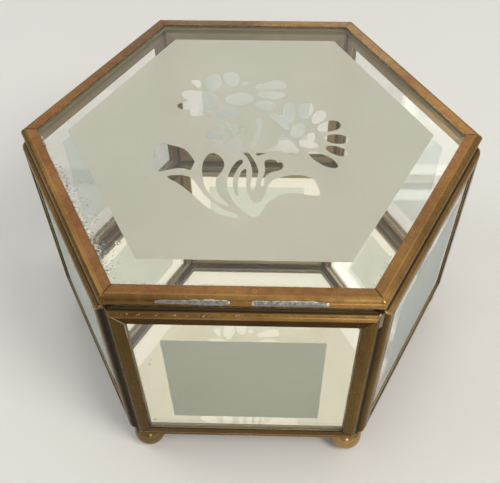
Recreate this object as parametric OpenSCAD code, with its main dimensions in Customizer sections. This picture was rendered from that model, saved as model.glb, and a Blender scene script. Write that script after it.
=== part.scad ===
// Hexagonal glass casket with a hinged lid, six framed side panes, a mirror floor and ball feet.
// Every pane is edged in round-backed brass channel, called came, and the frames are soldered together.
// Origin: middle of the footprint on the surface it stands on. +Z up, front towards -Y, hinge along +Y.

/* [Body] */
// Width across two opposite sides, measured over the side frames
body_across_flats = 132; // [100:1:200]
// Height of one framed side panel
side_panel_height = 73.4; // [50:0.2:120]
// Gap left for solder between neighbouring frames
seam_gap = 0.08; // [0.02:0.02:0.2]

/* [Lid] */
// How far the lid frame and the floor frame stand in from the side frames
lid_setback = 1.2; // [0.6:0.1:2]
// Gap between the side frames and the closed lid
lid_gap = 1; // [0.7:0.05:1.4]

/* [Came] */
// Width of the came seen from the flat side, from its lips to its round back
came_face = 4.8; // [4.4:0.1:7]
// Thickness of the brass sheet that the came is rolled from
came_wall = 0.5; // [0.4:0.05:0.8]

/* [Glass] */
// Thickness of every pane and of the mirror
glass_thickness = 3; // [2:0.1:3.8]
// How deep the edge of a pane sits inside its came
glass_bite = 2.2; // [1:0.1:2.8]

/* [Hinge] */
// Length of the hinge along the back of the lid
hinge_length = 44; // [24:1:60]
// Length of the middle tube, which turns with the lid
lid_tube_length = 20; // [8:1:20]
// Outer diameter of the hinge tubes
hinge_tube_d = 1.6; // [1.4:0.05:1.8]
// Diameter of the hinge pin
hinge_pin_d = 0.8; // [0.6:0.05:1]
// Radial room between the pin and the bore of the tubes
hinge_fit = 0.05; // [0.02:0.01:0.1]
// How far the pin's axis lies outside the line between the two round backs
hinge_out = 0.55; // [0.4:0.05:0.7]

/* [Feet] */
// Diameter of a ball foot
foot_d = 11; // [6:0.5:16]
// Distance from a corner of the floor frame in to the middle of its foot
foot_inset = 6; // [5:0.1:9]
// Height worn off the bottom of each ball, which leaves a small flat
foot_wear = 0.15; // [0.05:0.05:0.5]

/* [Solder] */
// Length of each of the two beads along the front of the lid
bead_length = 20; // [8:1:28]
// Clear length between those two beads
bead_spacing = 5.7; // [2:0.1:12]
// Thickness of the beads over the round back
bead_height = 0.45; // [0.2:0.05:0.8]
// How far the solder in a groove lies behind the flat faces of the came
seam_sunk = 0.6; // [0.2:0.1:1]
// Diameter of the solder collar that holds a foot
collar_d = 6.4; // [4:0.1:8]

/* [Hidden] */
$fn = 96;
SIDES = ["front", "front_right", "back_right", "back", "back_left", "front_left"];
CORNERS = ["right_front", "right", "right_back", "left_back", "left", "left_front"];
EDGES = ["top", "right", "bottom", "left"];
BACK = 3;

brass = "#9A7440";
solder = "#9B9C9F";
clear_glass = [0.80, 0.86, 0.82, 0.35];
mirror_glass = [0.78, 0.80, 0.80];

came_t = glass_thickness + 2 * came_wall;
crown_r = came_t / 2;
crown_at = came_face - crown_r;
slot_r = glass_thickness / 2;

// Lid and floor frames: both are the same hexagon.
lid_outer = body_across_flats / 2 - lid_setback;
lid_inner = lid_outer - came_face;
lid_crown = lid_inner + crown_at;

// Side frames: squares whose round backs almost touch at the corners.
side_mid = body_across_flats / 2 - crown_r;
crown_to_corner = crown_r + seam_gap / 2;
side_half = crown_r + (side_mid * sin(30) - crown_to_corner) / cos(30);
side_open_w = 2 * (side_half - came_face);
side_open_h = side_panel_height - 2 * came_face;

// Heights, from the surface up.
foot_r = foot_d / 2;
foot_mid = foot_r - foot_wear;
foot_gap = 0.2;
base_under = foot_mid + foot_r + foot_gap;
base_mid = base_under + crown_r;
crowns_apart = sqrt(pow(2 * crown_r + seam_gap, 2) - pow(side_mid - lid_crown, 2));
side_bottom = base_mid + crowns_apart - crown_r;
side_centre = side_bottom + side_panel_height / 2;
side_top = side_bottom + side_panel_height;
lid_under = side_top + lid_gap;
lid_mid = lid_under + crown_r;

// Hinge axis: just outside the line from the lid's round back to the body's.
back_step = [side_mid - lid_crown, (side_top - crown_r) - lid_mid];
back_span = norm(back_step);
hinge_y = lid_crown + back_step[0] / 2 - back_step[1] / back_span * hinge_out;
hinge_z = lid_mid + back_step[1] / 2 + back_step[0] / back_span * hinge_out;
tube_r = hinge_tube_d / 2;
bore_r = hinge_pin_d / 2 + hinge_fit;
swing_room = 0.15;
tube_gap = 0.3;
side_tube_length = (hinge_length - lid_tube_length) / 2 - tube_gap;
side_tube_at = lid_tube_length / 2 + tube_gap + side_tube_length / 2;
pin_head_h = 0.4;
pin_head_r = bore_r + 0.15;
pin_recess_r = pin_head_r + swing_room;
pin_recess_length = hinge_length + 2 * (pin_head_h + tube_gap);

// Solder seams fill the groove between two round backs, outwards to seam_fill and a little way inwards.
seam_fill = crown_r - seam_sunk;
seam_inside = 0.5;
corner_seam_from = base_mid + crown_r;
corner_crown = (side_half - crown_r) * sin(30) + side_mid * cos(30);
rest_bead_r = 1.5;
rest_bead_at = corner_crown - 0.2;
rest_room = 0.04;
foot_at = lid_outer / cos(30) - foot_inset;
// How far the collar comes down over the ball.
collar_grip = 1.4;
collar_h = foot_gap + collar_grip;
bead_r = 1.2;
bead_tilt = 24;
// The floor's seams stop short of the corners by this much at each end.
base_seam_short = 4;

// Cross-section of the came: lips at x = 0, round back towards +x, a slot for the glass inside.
module came_section() {
    difference() {
        union() {
            translate([0, -crown_r]) square([crown_at, came_t]);
            translate([crown_at, 0]) circle(r = crown_r);
        }
        translate([-1, -slot_r]) square([crown_at + 1, glass_thickness]);
        translate([crown_at, 0]) circle(r = slot_r);
    }
}

// One length of came along X with its lips on y = 0 and its back towards -y, cut to a mitre at each end.
module came_bar(lip_length, mitre) {
    end = lip_length / 2 + came_face * tan(mitre);
    intersection() {
        rotate([0, 0, 180]) rotate([90, 0, 90])
            linear_extrude(height = 2 * end + 2, center = true) came_section();
        linear_extrude(height = came_t + 2, center = true)
            polygon([[-lip_length / 2, 0], [lip_length / 2, 0], [end, -came_face], [-end, -came_face]]);
    }
}

// A cylinder along X, centred on its own length.
module rod(r, length) {
    rotate([0, 90, 0]) cylinder(r = r, h = length, center = true);
}

module hexagon_plate(apothem, thickness) {
    linear_extrude(height = thickness, center = true)
        polygon([for (i = [0:5]) apothem / cos(30) * [cos(60 * i), sin(60 * i)]]);
}

// Turns its children, drawn for the front, to side i.
module at_side(i) {
    rotate([0, 0, 60 * i]) children();
}

// Turns its children, drawn along +X, to corner i.
module at_corner(i) {
    rotate([0, 0, 60 * i - 60]) children();
}

module at_hinge(x = 0) {
    translate([x, hinge_y, hinge_z]) children();
}

module hexagon_came(i) {
    at_side(i) translate([0, -lid_inner, 0]) came_bar(2 * lid_inner * tan(30), 30);
}

module lid_came(i) {
    color(brass) difference() {
        translate([0, 0, lid_mid]) hexagon_came(i);
        if (i == BACK) {
            at_hinge() rod(pin_recess_r, pin_recess_length);
            at_hinge() rod(tube_r, lid_tube_length);
            for (x = [-side_tube_at, side_tube_at])
                at_hinge(x) rod(tube_r + swing_room, side_tube_length + 2 * tube_gap);
        }
    }
}

module lid_glass() {
    color(clear_glass) translate([0, 0, lid_mid]) hexagon_plate(lid_inner + glass_bite, glass_thickness);
}

module base_came(i) {
    color(brass) translate([0, 0, base_mid]) hexagon_came(i);
}

module base_mirror() {
    color(mirror_glass) translate([0, 0, base_mid]) hexagon_plate(lid_inner + glass_bite, glass_thickness);
}

// Edge e of a side frame: 0 top, 1 right, 2 bottom, 3 left, as seen from outside.
module side_came(i, e) {
    across = e % 2 == 0;
    lip_length = across ? side_open_w : side_open_h;
    reach = (across ? side_open_h : side_open_w) / 2;
    color(brass) difference() {
        at_side(i) translate([0, -side_mid, side_centre])
            rotate([0, 90 * e, 0]) translate([0, 0, reach]) rotate([-90, 0, 0]) came_bar(lip_length, 45);
        if (i == BACK && e == 0) {
            at_hinge() rod(pin_recess_r, pin_recess_length);
            at_hinge() rod(tube_r + swing_room, lid_tube_length + 2 * tube_gap);
            for (x = [-side_tube_at, side_tube_at]) at_hinge(x) rod(tube_r, side_tube_length);
        }
    }
}

module pane(i) {
    color(clear_glass) at_side(i) translate([0, -side_mid, side_centre])
        cube([side_open_w + 2 * glass_bite, glass_thickness, side_open_h + 2 * glass_bite], center = true);
}

module foot(i) {
    color(brass) at_corner(i) translate([foot_at, 0, foot_mid]) difference() {
        sphere(r = foot_r);
        translate([0, 0, -foot_mid - foot_r]) cube([foot_d, foot_d, 2 * foot_r], center = true);
    }
}

module hinge_tube(x, length) {
    color(brass) at_hinge(x) difference() {
        rod(tube_r, length);
        rod(bore_r, length + 1);
    }
}

module hinge_pin() {
    color(brass) at_hinge() {
        rod(hinge_pin_d / 2, hinge_length + pin_head_h);
        for (s = [-1, 1])
            translate([s * (hinge_length + pin_head_h) / 2, 0, 0]) rod(pin_head_r, pin_head_h);
    }
}

// Cross-section of the solder between two round backs, one on each side of the x axis, with +x outwards.
module groove_fill() {
    difference() {
        translate([-seam_inside, -crown_to_corner]) square([seam_inside + seam_fill, 2 * crown_to_corner]);
        for (s = [-1, 1]) translate([0, s * crown_to_corner]) circle(r = crown_r);
    }
}

// Solder in the groove between two side frames, with a bead on top that the closed lid rests on.
module corner_seam() {
    translate([corner_crown, 0, corner_seam_from])
        linear_extrude(height = side_top - corner_seam_from) groove_fill();
    intersection() {
        translate([rest_bead_at, 0, lid_under - rest_room - rest_bead_r]) sphere(r = rest_bead_r);
        translate([rest_bead_at, 0, side_top + lid_gap])
            cube([4 * rest_bead_r, 4 * rest_bead_r, 2 * lid_gap], center = true);
    }
}

module corner_solder() {
    color(solder) for (i = [0:5]) at_corner(i) corner_seam();
}

// Solder in the groove between the side frames and the floor frame.
module base_solder() {
    lean = atan2(side_mid - lid_crown, crowns_apart);
    color(solder) for (i = [0:5]) at_side(i)
        translate([0, -(lid_crown + side_mid) / 2, base_mid + crowns_apart / 2]) rotate([90, 0, 90])
            linear_extrude(height = side_open_w - 2 * base_seam_short, center = true)
                rotate(180 + lean) groove_fill();
}

module foot_solder() {
    color(solder) for (i = [0:5]) at_corner(i) translate([foot_at, 0, 0]) difference() {
        translate([0, 0, base_under - collar_h]) cylinder(d = collar_d, h = collar_h);
        translate([0, 0, foot_mid]) sphere(r = foot_r);
    }
}

// Two flat beads left where the came was closed along the front of the lid.
module lid_solder() {
    color(solder) difference() {
        for (s = [-1, 1]) translate([s * (bead_spacing + bead_length) / 2, -lid_crown, lid_mid])
            rotate([-bead_tilt, 0, 0]) translate([0, -(crown_r + bead_height - bead_r), 0]) {
                rod(bead_r, bead_length - 2 * bead_r);
                for (e = [-1, 1]) translate([e * (bead_length / 2 - bead_r), 0, 0]) sphere(r = bead_r);
            }
        translate([0, -lid_crown, lid_mid]) rod(crown_r, body_across_flats);
        translate([0, -lid_crown + crown_r, lid_mid])
            cube([body_across_flats, 2 * crown_r, 2 * came_t], center = true);
    }
}

lid_glass();
base_mirror();
for (i = [0:5]) {
    lid_came(i);
    base_came(i);
    pane(i);
    foot(i);
    for (e = [0:3])
        side_came(i, e);
}
hinge_tube(0, lid_tube_length);  // hinge_tube_lid
hinge_tube(-side_tube_at, side_tube_length);  // hinge_tube_left
hinge_tube(side_tube_at, side_tube_length);  // hinge_tube_right
hinge_pin();
corner_solder();
base_solder();
foot_solder();
lid_solder();
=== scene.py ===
import math
import random

import bmesh
import bpy
from mathutils import Matrix, Quaternion, Vector, noise


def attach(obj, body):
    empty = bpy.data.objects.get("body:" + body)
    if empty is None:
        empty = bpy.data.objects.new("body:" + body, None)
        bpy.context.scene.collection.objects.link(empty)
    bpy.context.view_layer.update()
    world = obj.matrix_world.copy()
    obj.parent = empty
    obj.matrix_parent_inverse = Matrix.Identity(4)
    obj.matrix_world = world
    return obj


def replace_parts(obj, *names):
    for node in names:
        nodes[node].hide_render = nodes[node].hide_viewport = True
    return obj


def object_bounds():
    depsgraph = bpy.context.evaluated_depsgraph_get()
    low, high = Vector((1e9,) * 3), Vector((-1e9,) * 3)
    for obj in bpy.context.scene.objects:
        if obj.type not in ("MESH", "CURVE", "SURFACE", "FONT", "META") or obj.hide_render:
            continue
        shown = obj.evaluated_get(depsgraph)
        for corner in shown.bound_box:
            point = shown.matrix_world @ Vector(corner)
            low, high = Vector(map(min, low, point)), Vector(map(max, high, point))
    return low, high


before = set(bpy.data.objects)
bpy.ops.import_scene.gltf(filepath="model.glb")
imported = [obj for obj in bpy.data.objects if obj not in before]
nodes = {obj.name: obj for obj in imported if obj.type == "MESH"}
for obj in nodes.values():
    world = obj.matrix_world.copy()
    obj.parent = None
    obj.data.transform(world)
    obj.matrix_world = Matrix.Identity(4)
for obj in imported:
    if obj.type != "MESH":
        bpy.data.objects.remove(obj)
cad_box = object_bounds()


# View and room: the casket stands on a plain pale floor in an even, pale room, lit by two soft lamps from
# above and a faint one in front. It is seen from above its front, looking down at about 46 degrees.
LIFT, SWING, ROLL = math.radians(45.69), math.radians(1.67), math.radians(-0.37)
EYE_AWAY, EYE_RIGHT, EYE_DOWN = 0.2248, 0.0025, 0.0130
towards_eye = Vector((math.sin(SWING) * math.cos(LIFT), -math.cos(SWING) * math.cos(LIFT), math.sin(LIFT)))
camera = bpy.data.objects.new("camera", bpy.data.cameras.new("camera"))
camera.data.sensor_width, camera.data.lens = 36.0, 50.18
camera.data.shift_x, camera.data.shift_y = -0.016, -0.139
camera.data.clip_start, camera.data.clip_end = 0.01, 20.0
camera.rotation_mode = "QUATERNION"
camera.rotation_quaternion = towards_eye.to_track_quat("Z", "Y") @ Quaternion((0, 0, 1), ROLL)
right_hand = Vector((0, 0, 1)).cross(towards_eye).normalized()
camera.location = (
    Vector((0, 0, cad_box[1].z))
    + EYE_AWAY * towards_eye
    + EYE_RIGHT * right_hand
    - EYE_DOWN * towards_eye.cross(right_hand)
)
scene = bpy.context.scene
scene.collection.objects.link(camera)
scene.camera = camera
scene.view_settings.view_transform = "Standard"
scene.cycles.transparent_max_bounces = 24
scene.cycles.max_bounces = 16


def add(tree, kind, values=(), **settings):
    """A shader node. values holds its inputs in order or by name: a socket is linked, None is left alone."""
    node = tree.nodes.new("ShaderNode" + kind)
    for name, value in settings.items():
        setattr(node, name, value)
    for key, value in values.items() if isinstance(values, dict) else enumerate(values):
        if isinstance(value, bpy.types.NodeSocket):
            tree.links.new(value, node.inputs[key])
        elif value is not None:
            node.inputs[key].default_value = value
    return node


def maths(tree, operation, *values):
    return add(tree, "Math", values, operation=operation).outputs[0]


def fade(tree, value, start, end, low=0.0, high=1.0):
    """low where value is at start, high where it is at end, with a soft change between."""
    return add(tree, "MapRange", (value, start, end, low, high), interpolation_type="SMOOTHSTEP").outputs[0]


def tint(tree, factor, first, second, kind="MIX"):
    return add(tree, "Mix", {0: factor, 6: first, 7: second}, data_type="RGBA", blend_type=kind).outputs[2]


def srgb(red, green, blue):
    """A colour as a painter's 0 to 255 numbers, made linear."""
    return (*(((c / 255 + 0.055) / 1.055) ** 2.4 if c > 10 else c / 3295 for c in (red, green, blue)), 1.0)


def material(name):
    """A new material with nothing in it but its output."""
    made = bpy.data.materials.new(name)
    made.use_nodes = True
    made.node_tree.nodes.clear()
    return made, made.node_tree, add(made.node_tree, "OutputMaterial").inputs["Surface"]


def principled(tree, surface, values):
    """Gives the material one shader, with these inputs."""
    tree.links.new(add(tree, "BsdfPrincipled", values).outputs[0], surface)


def mesh_object(name, vertices, faces, smooth=True):
    mesh = bpy.data.meshes.new(name)
    mesh.from_pydata([tuple(v) for v in vertices], [], faces)
    mesh.polygons.foreach_set("use_smooth", [smooth] * len(faces))
    made = bpy.data.objects.new(name, mesh)
    scene.collection.objects.link(made)
    return made


world = bpy.data.worlds.new("pale room")
world.use_nodes = True
world.node_tree.nodes.clear()
room = world.node_tree
path = add(room, "LightPath").outputs
in_glass = maths(room, "MAXIMUM", path["Is Glossy Ray"], path["Is Transmission Ray"])
seen = maths(room, "MAXIMUM", path["Is Camera Ray"], in_glass)
way = add(room, "TexCoord").outputs["Generated"]
open_side = add(room, "VectorMath", (way, (0.34, 0.42, 0.84)), operation="DOT_PRODUCT").outputs["Value"]
wall = tint(room, fade(room, open_side, -0.3, 0.75), srgb(186, 182, 174), srgb(250, 247, 235))
glow = tint(room, seen, (0.99, 1.0, 1.0, 1), wall)
light = add(room, "Background", (glow, fade(room, seen, 0.0, 1.0, 0.6, 1.0)))
room.links.new(light.outputs[0], add(room, "OutputWorld").inputs["Surface"])
scene.world = world

REACH = 4
floor_corners = [(-REACH, -REACH, 0), (REACH, -REACH, 0), (REACH, REACH, 0), (-REACH, REACH, 0)]
floor = mesh_object("floor", floor_corners, [(0, 1, 2, 3)])
floor_look, tree, surface = material("pale floor")
principled(tree, surface, {"Base Color": srgb(226, 223, 217), "Roughness": 0.7})
floor.data.materials.append(floor_look)


def soft_lamp(name, azimuth, elevation, away, size, watts, colour):
    """A round lamp turned to the casket: its place as angles in degrees and a distance in metres."""
    lamp = bpy.data.objects.new(name, bpy.data.lights.new(name, "AREA"))
    a, e = math.radians(azimuth), math.radians(elevation)
    back = Vector((math.sin(a) * math.cos(e), -math.cos(a) * math.cos(e), math.sin(e)))
    lamp.location = back * away
    lamp.rotation_euler = back.to_track_quat("Z", "Y").to_euler()
    lamp.data.shape, lamp.data.size, lamp.data.energy, lamp.data.color = "DISK", size, watts, colour
    scene.collection.objects.link(lamp)


soft_lamp("key lamp", 52, 50, 1.2, 0.45, 6.4, (1.0, 0.97, 0.93))
soft_lamp("fill lamp", -100, 45, 1.4, 0.8, 3.2, (0.92, 0.96, 1.0))
soft_lamp("front lamp", 8, 13, 1.2, 0.34, 0.6, (1.0, 0.98, 0.95))


# Floor: one hexagonal sheet of mirror, 3 mm thick, silvered underneath and painted behind the silver.
# The silver is whole, with small dark spots where it has lifted from the glass.
MM = 0.001
SILVER_APOTHEM = 62.15
SILVER_UNDERSIDE, SILVER_FACE = 11.57, 11.60


def minus(tree, first, second):
    return maths(tree, "SUBTRACT", first, second)


def times(tree, first, second):
    return maths(tree, "MULTIPLY", first, second)


def millimetres(tree):
    """The place on the casket, in millimetres; it stays with a piece when that piece moves."""
    place = add(tree, "TexCoord").outputs["Object"]
    return add(tree, "VectorMath", (place, (1000, 1000, 1000)), operation="MULTIPLY").outputs[0]


def grain(tree, place, scale, detail=3.0, roughness=0.55):
    values = {"Vector": place, "Scale": scale, "Detail": detail, "Roughness": roughness}
    return add(tree, "TexNoise", values).outputs[0]


def dots(tree, place, scale, size, share):
    """Scattered round dots: scale per millimetre, size as a share of spacing, share of places filled."""
    cells = add(tree, "TexVoronoi", {"Vector": place, "Scale": scale}).outputs
    kept = maths(tree, "LESS_THAN", add(tree, "SeparateColor", (cells["Color"],)).outputs[0], share)
    return times(tree, fade(tree, cells["Distance"], size, size * 0.6), kept)


def relief(tree, height, depth, strength=1.0):
    """A bump for the shader: height 0 to 1, depth in millimetres."""
    return add(tree, "Bump", {"Strength": strength, "Distance": depth * MM, "Height": height}).outputs[0]


def dress(pieces, look):
    """Gives every material slot of these CAD nodes the same finish."""
    for name in pieces:
        for socket in nodes[name].material_slots:
            socket.material = look


def loosen(pieces):
    """Draws the faces of a pane 0.02 mm inwards, so that they don't lie in the frame's own faces."""
    for name in pieces:
        ease = nodes[name].modifiers.new("loose fit", "DISPLACE")
        ease.strength, ease.mid_level = -0.02 * MM, 0.0


def flat_plate(name, outline, low, high, holes=(), soft=False):
    """A thin plate from closed outlines in millimetres, between two heights, with holes cut through it."""
    curve = bpy.data.curves.new(name, "CURVE")
    curve.dimensions, curve.fill_mode, curve.resolution_u = "2D", "BOTH", 5
    curve.extrude = (high - low) / 2 * MM
    for points, bends in [(outline, soft)] + [(hole, True) for hole in holes]:
        spline = curve.splines.new("BEZIER")
        spline.use_cyclic_u = True
        spline.bezier_points.add(len(points) - 1)
        for point, (x, y) in zip(spline.bezier_points, points):
            point.co = (x * MM, y * MM, 0)
            point.handle_left_type = point.handle_right_type = "AUTO" if bends else "VECTOR"
    drawn = bpy.data.objects.new(name, curve)
    scene.collection.objects.link(drawn)
    bpy.context.view_layer.update()
    mesh = bpy.data.meshes.new_from_object(drawn.evaluated_get(bpy.context.evaluated_depsgraph_get()))
    bpy.data.objects.remove(drawn)
    mesh.transform(Matrix.Translation((0, 0, (low + high) / 2 * MM)))
    form = bmesh.new()
    form.from_mesh(mesh)
    bmesh.ops.remove_doubles(form, verts=form.verts, dist=1e-7)
    form.to_mesh(mesh)
    form.free()
    mesh.name = name
    plate = bpy.data.objects.new(name, mesh)
    scene.collection.objects.link(plate)
    return plate


def hexagon(apothem, wobble=0.0, steps=1, seed=0):
    """The outline of a hexagon with a flat side to the front; wobble gives the hand-cut edge of a mask."""
    rng = random.Random(seed)
    corner = apothem / math.cos(math.pi / 6)
    outline = []
    for k in range(6):
        turns = (k * math.pi / 3, (k + 1) * math.pi / 3)
        a, b = (Vector((math.cos(t), math.sin(t))) * corner for t in turns)
        for s in range(steps):
            shift = rng.uniform(-wobble, wobble) if s else 0.0
            outline.append(tuple(a.lerp(b, s / steps) * (1 + shift / apothem)))
    return outline


clear_glass, tree, surface = material("clear sheet glass")
sheet = add(tree, "BsdfPrincipled", {
    "Base Color": (0.985, 0.985, 0.965, 1),
    "Roughness": 0.0,
    "IOR": 1.5,
    "Transmission Weight": 1.0,
})
way = add(tree, "LightPath").outputs
through = add(tree, "BsdfTransparent", ((0.965, 0.97, 0.955, 1),))
unseen = maths(tree, "MAXIMUM", way["Is Shadow Ray"], way["Is Diffuse Ray"])
split = add(tree, "MixShader", (unseen, sheet.outputs[0], through.outputs[0]))
tree.links.new(split.outputs[0], surface)
dress(["base_mirror"], clear_glass)
loosen(["base_mirror"])

silver, tree, surface = material("mirror silver")
place = millimetres(tree)
spots = maths(tree, "MAXIMUM", dots(tree, place, 0.3, 0.1, 0.16), dots(tree, place, 1.3, 0.16, 0.04))
loss = times(tree, spots, 0.55)
bright = tint(tree, grain(tree, place, 0.05), (0.9, 0.88, 0.82, 1), (0.94, 0.92, 0.86, 1))
principled(tree, surface, {
    "Base Color": tint(tree, loss, bright, (0.16, 0.15, 0.12, 1)),
    "Metallic": minus(tree, 1.0, times(tree, loss, 0.8)),
    "Roughness": fade(tree, loss, 0.0, 1.0, 0.015, 0.6),
})

backing, tree, surface = material("mirror backing paint")
place = millimetres(tree)
worn = fade(tree, grain(tree, place, 0.5, 5.0, 0.7), 0.6, 0.68)
paint = tint(tree, grain(tree, place, 0.08), srgb(92, 88, 84), srgb(116, 108, 98))
principled(tree, surface, {
    "Base Color": tint(tree, worn, paint, srgb(150, 120, 92)),
    "Roughness": fade(tree, grain(tree, place, 2.0), 0.3, 0.7, 0.55, 0.8),
    "Normal": relief(tree, grain(tree, place, 1.5, 4.0), 0.03),
})

mirror_back = flat_plate("mirror_silvering", hexagon(SILVER_APOTHEM), SILVER_UNDERSIDE, SILVER_FACE)
mirror_back.data.materials.append(silver)
mirror_back.data.materials.append(backing)
for face in mirror_back.data.polygons:
    face.material_index = 0 if face.normal.z > 0.5 else 1
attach(mirror_back, "body")


# Frames: round-backed channel (came) rolled from thin brass sheet, cut to mitred lengths round each pane.
# The flat lips have gone reddish brown, the round backs are golden, and dirt sits in mitres and by the glass.
# The brass is also painted lighter and darker by place round the casket, for how the light falls, with
# painted shade in the grooves, under the lid and where the floor frame meets the floor.
# A place across a length of came is counted in millimetres, from its lip at 0 to its round back at 4.8.
SIDES = ("front", "front_right", "back_right", "back", "back_left", "front_left")
PANE_OUT, PANE_UP = 64, 51.65
OPENING_HALF_WIDE, OPENING_HALF_TALL = 31.8, 31.9
BACK_RADIUS = 2
HEXAGON_LIP, FLOOR_FRAME_UNDER, LID_UNDER = 60.0, 11.05, 89.35


def group(name, inputs, outputs):
    """A shader node group, and the sockets inside it: its tree, what it is given and what it puts out."""
    tree = bpy.data.node_groups.new(name, "ShaderNodeTree")
    for way, sockets in (("INPUT", inputs), ("OUTPUT", outputs)):
        for label, kind in sockets.items():
            tree.interface.new_socket(label, in_out=way, socket_type="NodeSocket" + kind)
    return tree, tree.nodes.new("NodeGroupInput").outputs, tree.nodes.new("NodeGroupOutput").inputs


def join(tree, inputs, **links):
    for label, value in links.items():
        tree.links.new(value, inputs[label])


def plus(tree, first, second):
    return maths(tree, "ADD", first, second)


def parts(tree, place):
    """The x, y and z of a place."""
    return add(tree, "SeparateXYZ", (place,)).outputs


def gap(tree, first, second):
    """How far apart two values are."""
    return maths(tree, "ABSOLUTE", minus(tree, first, second))


def blend(tree, factor, first, second):
    """A value between two others, first where factor is 0 and second where it is 1."""
    return add(tree, "Mix", (factor, None, first, second), data_type="FLOAT").outputs[0]


SIDE_PLACE = dict.fromkeys(("Along", "Out", "Up", "Side"), "Float")
fold, given, result = group("side of the casket", {"Place": "Vector"}, SIDE_PLACE)
x, y, z = parts(fold, given["Place"])
angle = maths(fold, "ARCTAN2", x, times(fold, y, -1.0))
side = maths(fold, "FLOORED_MODULO", maths(fold, "ROUND", maths(fold, "DIVIDE", angle, math.pi / 3)), 6.0)
turn_back = {"Vector": given["Place"], "Angle": times(fold, side, -math.pi / 3)}
facing = add(fold, "VectorRotate", turn_back, rotation_type="Z_AXIS")
along, inward, up = parts(fold, facing.outputs[0])
join(fold, result, Along=along, Out=times(fold, inward, -1.0), Up=up, Side=side)

RUN = dict.fromkeys(("Across", "Mitre", "Run", "Length"), "Float")
ring_run, given, result = group("came round a hexagon", {"Place": "Vector", "Lip": "Float"}, RUN)
seen_from = add(ring_run, "Group", (given["Place"],), node_tree=fold).outputs
half = times(ring_run, seen_from["Out"], math.tan(math.pi / 6))
to_end = minus(ring_run, half, maths(ring_run, "ABSOLUTE", seen_from["Along"]))
join(
    ring_run,
    result,
    Across=minus(ring_run, seen_from["Out"], given["Lip"]),
    Mitre=times(ring_run, to_end, 0.866),
    Run=seen_from["Along"],
    Length=seen_from["Side"],
)

square_run, given, result = group("came round a square", {"Place": "Vector"}, RUN)
seen_from = add(square_run, "Group", (given["Place"],), node_tree=fold).outputs
sideways = minus(square_run, maths(square_run, "ABSOLUTE", seen_from["Along"]), OPENING_HALF_WIDE)
upward = minus(square_run, seen_from["Up"], PANE_UP)
upright = minus(square_run, maths(square_run, "ABSOLUTE", upward), OPENING_HALF_TALL)
is_upright = maths(square_run, "GREATER_THAN", sideways, upright)
end = gap(square_run, sideways, upright)
run = blend(square_run, is_upright, seen_from["Along"], seen_from["Up"])
which = maths(square_run, "SIGN", blend(square_run, is_upright, upward, seen_from["Along"]))
level_length = maths(square_run, "MULTIPLY_ADD", which, 3.0, seen_from["Side"])
join(
    square_run,
    result,
    Across=maths(square_run, "MAXIMUM", sideways, upright),
    Mitre=times(square_run, end, 0.707),
    Run=run,
    Length=maths(square_run, "MULTIPLY_ADD", is_upright, 20.0, level_length),
)

METAL = {"Color": "Color", "Metallic": "Float", "Roughness": "Float", "Height": "Float"}
WEAR_AND_SHADE = dict.fromkeys(("Rubbed", "Dirt", "Painted Shade"), "Float")
aged, given, result = group("aged brass", {"Place": "Vector", **RUN, **WEAR_AND_SHADE, "Tone": "Color"}, METAL)
place, across = given["Place"], given["Across"]
own = add(aged, "TexWhiteNoise", {"W": given["Length"]}, noise_dimensions="1D").outputs["Value"]
cloud, fine = grain(aged, place, 0.05, 2.0), grain(aged, place, 3.2, 3.0)
mottle = grain(aged, place, 0.4, 5.0, 0.65)
rates = ((given["Run"], 0.05), (across, 2.4), (given["Length"], 3.7))
stretch = [times(aged, value, rate) for value, rate in rates]
drawn = grain(aged, add(aged, "CombineXYZ", stretch).outputs[0], 1.0, 4.0, 0.6)
x, y, z = parts(aged, place)
# Polish grows towards the right: partly rubbed patina, partly painted light, for light falling from the
# right.
right = fade(aged, x, -55.0, 60.0, -0.25, 0.3)
polish = plus(aged, given["Rubbed"], right)
polish = plus(aged, polish, maths(aged, "MULTIPLY_ADD", cloud, 1.6, -0.8))
polish = plus(aged, polish, maths(aged, "MULTIPLY_ADD", own, 0.4, -0.2))
polish = add(aged, "Clamp", (polish, 0.0, 1.0)).outputs[0]
back = fade(aged, across, 2.55, 3.3)
lip_colour = tint(aged, polish, srgb(140, 101, 69), srgb(174, 131, 84))
back_colour = tint(aged, polish, srgb(143, 110, 66), srgb(192, 149, 93))
colour = tint(aged, back, lip_colour, back_colour)
blush = fade(aged, grain(aged, place, 0.16, 3.0), 0.52, 0.66)
blush = times(aged, blush, fade(aged, across, 3.0, 1.6))
colour = tint(aged, times(aged, blush, 0.5), colour, srgb(144, 90, 76))
clouding = tint(aged, fade(aged, mottle, 0.3, 0.7), (0.84, 0.83, 0.8, 1), (1.06, 1.06, 1.05, 1))
rolling = tint(aged, fade(aged, drawn, 0.3, 0.7), (0.95, 0.95, 0.94, 1), (1.04, 1.04, 1.04, 1))
colour = tint(aged, 1.0, tint(aged, 1.0, colour, clouding, "MULTIPLY"), rolling, "MULTIPLY")
# Painted light and shade: the front's round back is painted darker on the left and lighter on the right, the
# other round backs darker, the lips on the right half lighter towards the back, and the front's lip a little
# darker to the right, for how the light falls.
front_back_light = fade(aged, x, -58.0, 42.0, 0.43, 0.86)
other_backs_light = fade(aged, x, -60.0, 60.0, 0.55, 0.52)
back_painted_light = blend(aged, fade(aged, y, -56.0, -63.0), other_backs_light, front_back_light)
right_lips_light = fade(aged, y, -55.0, 10.0, 0.78, 1.22)
front_lip_light = fade(aged, x, -30.0, 50.0, 0.9, 0.8)
lip_painted_light = blend(aged, maths(aged, "GREATER_THAN", x, 0.0), 1.0, right_lips_light)
lip_painted_light = blend(aged, fade(aged, y, -56.0, -60.0), lip_painted_light, front_lip_light)
wear_and_painted_light = blend(aged, back, lip_painted_light, back_painted_light)
colour = add(aged, "VectorMath", {0: colour, "Scale": wear_and_painted_light}, operation="SCALE").outputs[0]
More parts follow.
